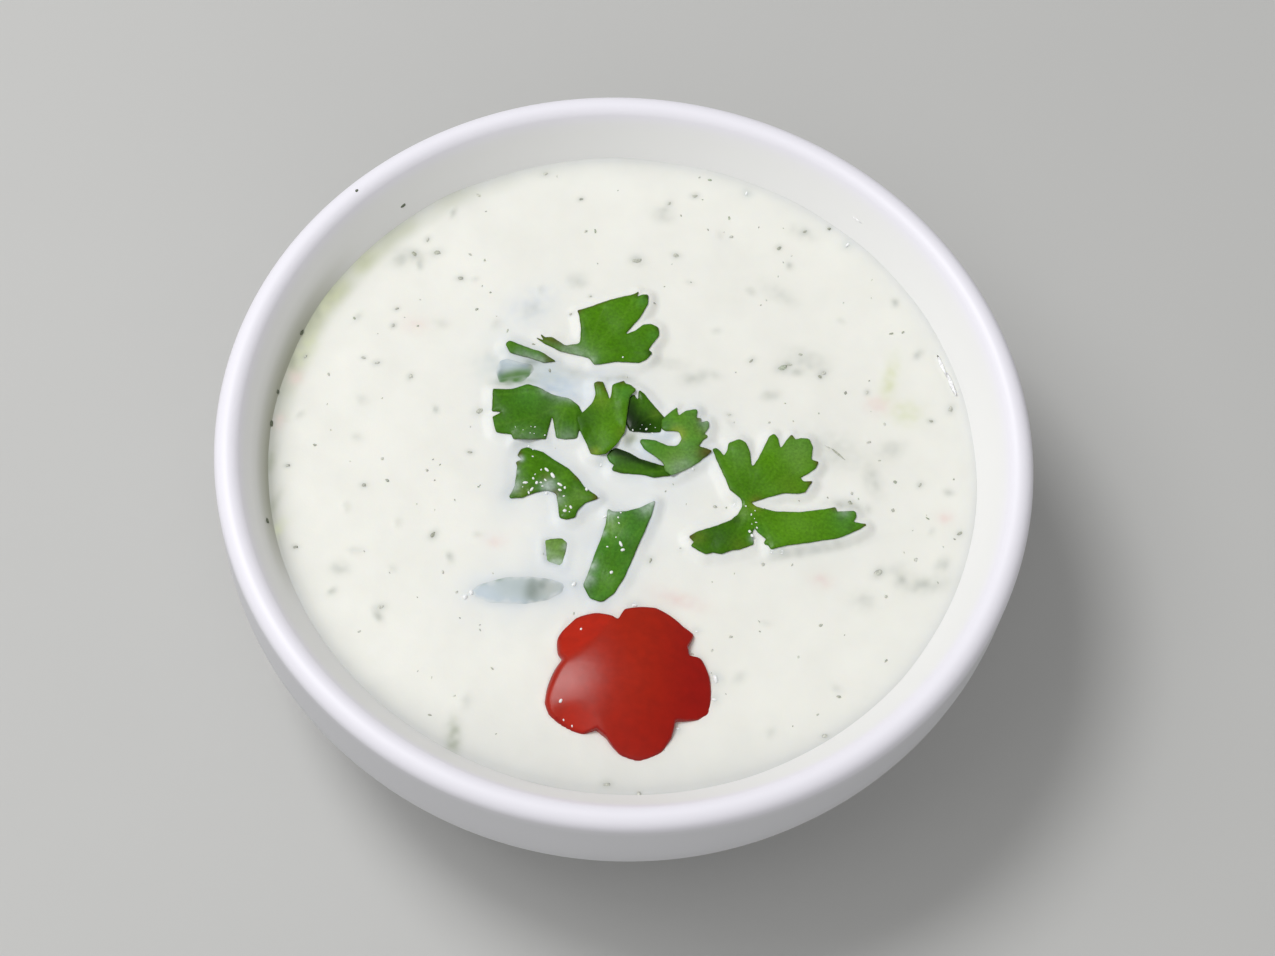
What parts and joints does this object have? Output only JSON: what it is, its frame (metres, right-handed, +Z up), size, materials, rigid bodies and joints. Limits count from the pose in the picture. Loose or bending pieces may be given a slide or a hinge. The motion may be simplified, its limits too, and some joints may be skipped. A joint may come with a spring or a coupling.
{
  "type": "bowl of tzatziki dip",
  "caption": "Tzatziki dip in its round white dip bowl, with herb flecks, pieces of parsley leaf and a flower cut from red pepper; stands on a foot ring.",
  "frame": {"origin": "middle of the foot ring's underside, on the table", "axes": "+Z up along the bowl's axis; +X to the eater's right; the eater sits on the -Y side, nearest the pepper flower"},
  "size_m": [0.12, 0.12, 0.04],
  "materials": {
    "bowl_glaze": "glossy white glaze",
    "yogurt_dip": "wet strained yogurt, soft sheen, cream white with herb flecks",
    "red_pepper": "shiny red skin",
    "parsley": "fresh green leaf, satin, wet in places",
    "coated_parsley": "leaf under a thin coat of dip, bluish grey"
  },
  "bodies": {
    "root": {"bowl": "bowl_glaze", "dip": "yogurt_dip", "pepper_flower": "red_pepper", "leaf_top": "parsley", "leaf_strip": "parsley", "leaf_left": "parsley", "leaf_middle": "parsley", "leaf_dark": "parsley", "leaf_toothed": "parsley", "leaf_tucked": "parsley", "leaf_wet": "parsley", "leaf_square": "parsley", "leaf_long": "parsley", "leaf_sunk": "coated_parsley", "leaf_large": "parsley"}
  },
  "joints": []
}
